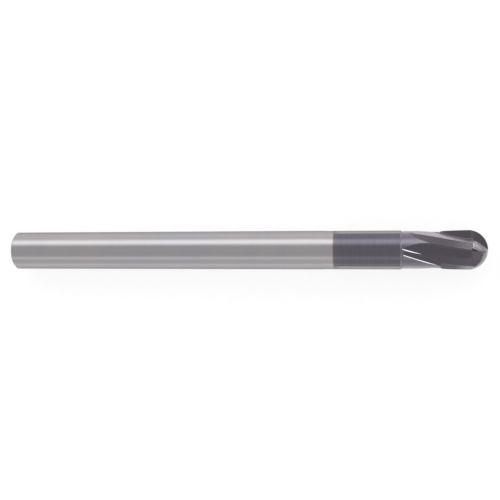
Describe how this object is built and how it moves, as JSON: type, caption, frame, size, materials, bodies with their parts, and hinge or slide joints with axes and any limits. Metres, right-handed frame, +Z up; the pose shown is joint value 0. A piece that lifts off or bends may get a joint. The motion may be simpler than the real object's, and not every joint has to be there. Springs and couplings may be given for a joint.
{
  "type": "ball-nose end mill",
  "caption": "Extra-long ball-nose end mill: a straight round shank with a reduced coated neck and a brazed helical-fluted carbide head with a hemispherical tip.",
  "frame": {"origin": "centre of the shank's rear end face, on the tool's axis", "axes": "+X along the tool's axis from the shank to the ball nose; +Z is up and points along one of the four teeth at the ball"},
  "size_m": [0.151, 0.012, 0.012],
  "materials": {
    "shank_steel": "ground steel shank, dark nitride coating on the neck",
    "coated_carbide": "ground carbide with a dark grey-violet nitride coating",
    "braze": "bright silver braze"
  },
  "bodies": {
    "root": {"shank": "shank_steel", "cutting_head": "coated_carbide", "braze_filler": "braze"}
  },
  "joints": []
}
